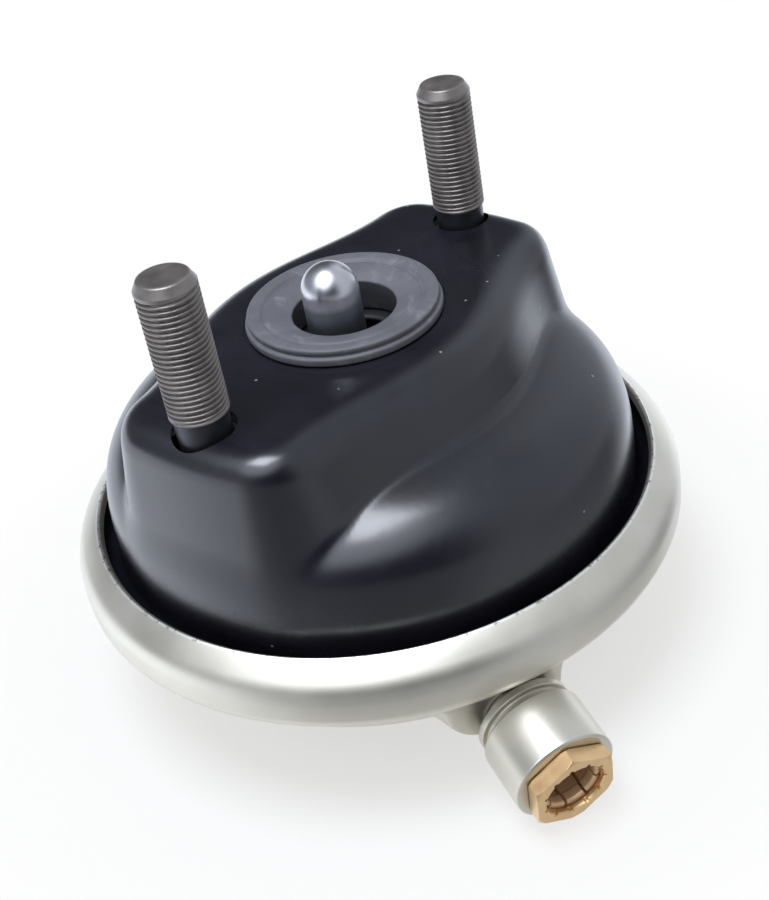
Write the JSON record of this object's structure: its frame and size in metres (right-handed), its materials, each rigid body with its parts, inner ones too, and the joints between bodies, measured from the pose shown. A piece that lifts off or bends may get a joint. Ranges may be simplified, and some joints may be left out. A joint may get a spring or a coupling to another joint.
{
  "type": "diaphragm brake cylinder",
  "caption": "Air brake chamber for a disc brake: drawn black housing with studs and a push rod, rolled silver cover, diaphragm, return spring and a push-in air port.",
  "frame": {"origin": "centre of the flat mounting face of the housing, midway between the studs", "axes": "+Z out of the mounting face along the studs and the push rod, +X through the right stud"},
  "size_m": [0.1844, 0.1943, 0.1531],
  "materials": {
    "black_paint": "satin black paint on drawn steel",
    "silver_paint": "satin silver paint",
    "phosphated_steel": "dull dark grey coated steel",
    "bright_steel": "polished tip, dull shank",
    "plain_steel": "plain pressed steel",
    "spring_steel": "oiled spring wire",
    "grey_rubber": "matt moulded rubber",
    "black_rubber": "matt moulded rubber",
    "brass": "bright machined brass",
    "dark_brass": "dull machined brass",
    "white_plastic": "moulded plastic",
    "black_plastic": "moulded plastic"
  },
  "bodies": {
    "chamber": {"housing": "black_paint", "cover": "silver_paint", "diaphragm": "black_rubber", "stud_plate": "plain_steel", "stud_left": "phosphated_steel", "stud_right": "phosphated_steel", "seal_ring": "grey_rubber", "rod_gaiter": "black_rubber", "gaiter_clamp_ring": "plain_steel", "spring_seat": "plain_steel", "return_spring": "spring_steel", "port_boss": "silver_paint", "port_thread_seal": "black_rubber", "port_support_ring": "white_plastic", "port_tube_seal": "black_rubber", "port_insert": "brass", "port_collet": "dark_brass", "breather_plug": "black_plastic"},
    "rod": {"push_rod": "bright_steel", "piston_plate": "plain_steel", "gaiter_band": "plain_steel"}
  },
  "joints": [
    {"name": "push_rod_stroke", "type": "slide", "parent": "chamber", "child": "rod", "axis": [0, 0, 1], "range_m": [0, 0.057], "stiffness_N_per_m": 1500, "springref_m": -0.05, "deforming": ["return_spring", "rod_gaiter"]}
  ]
}
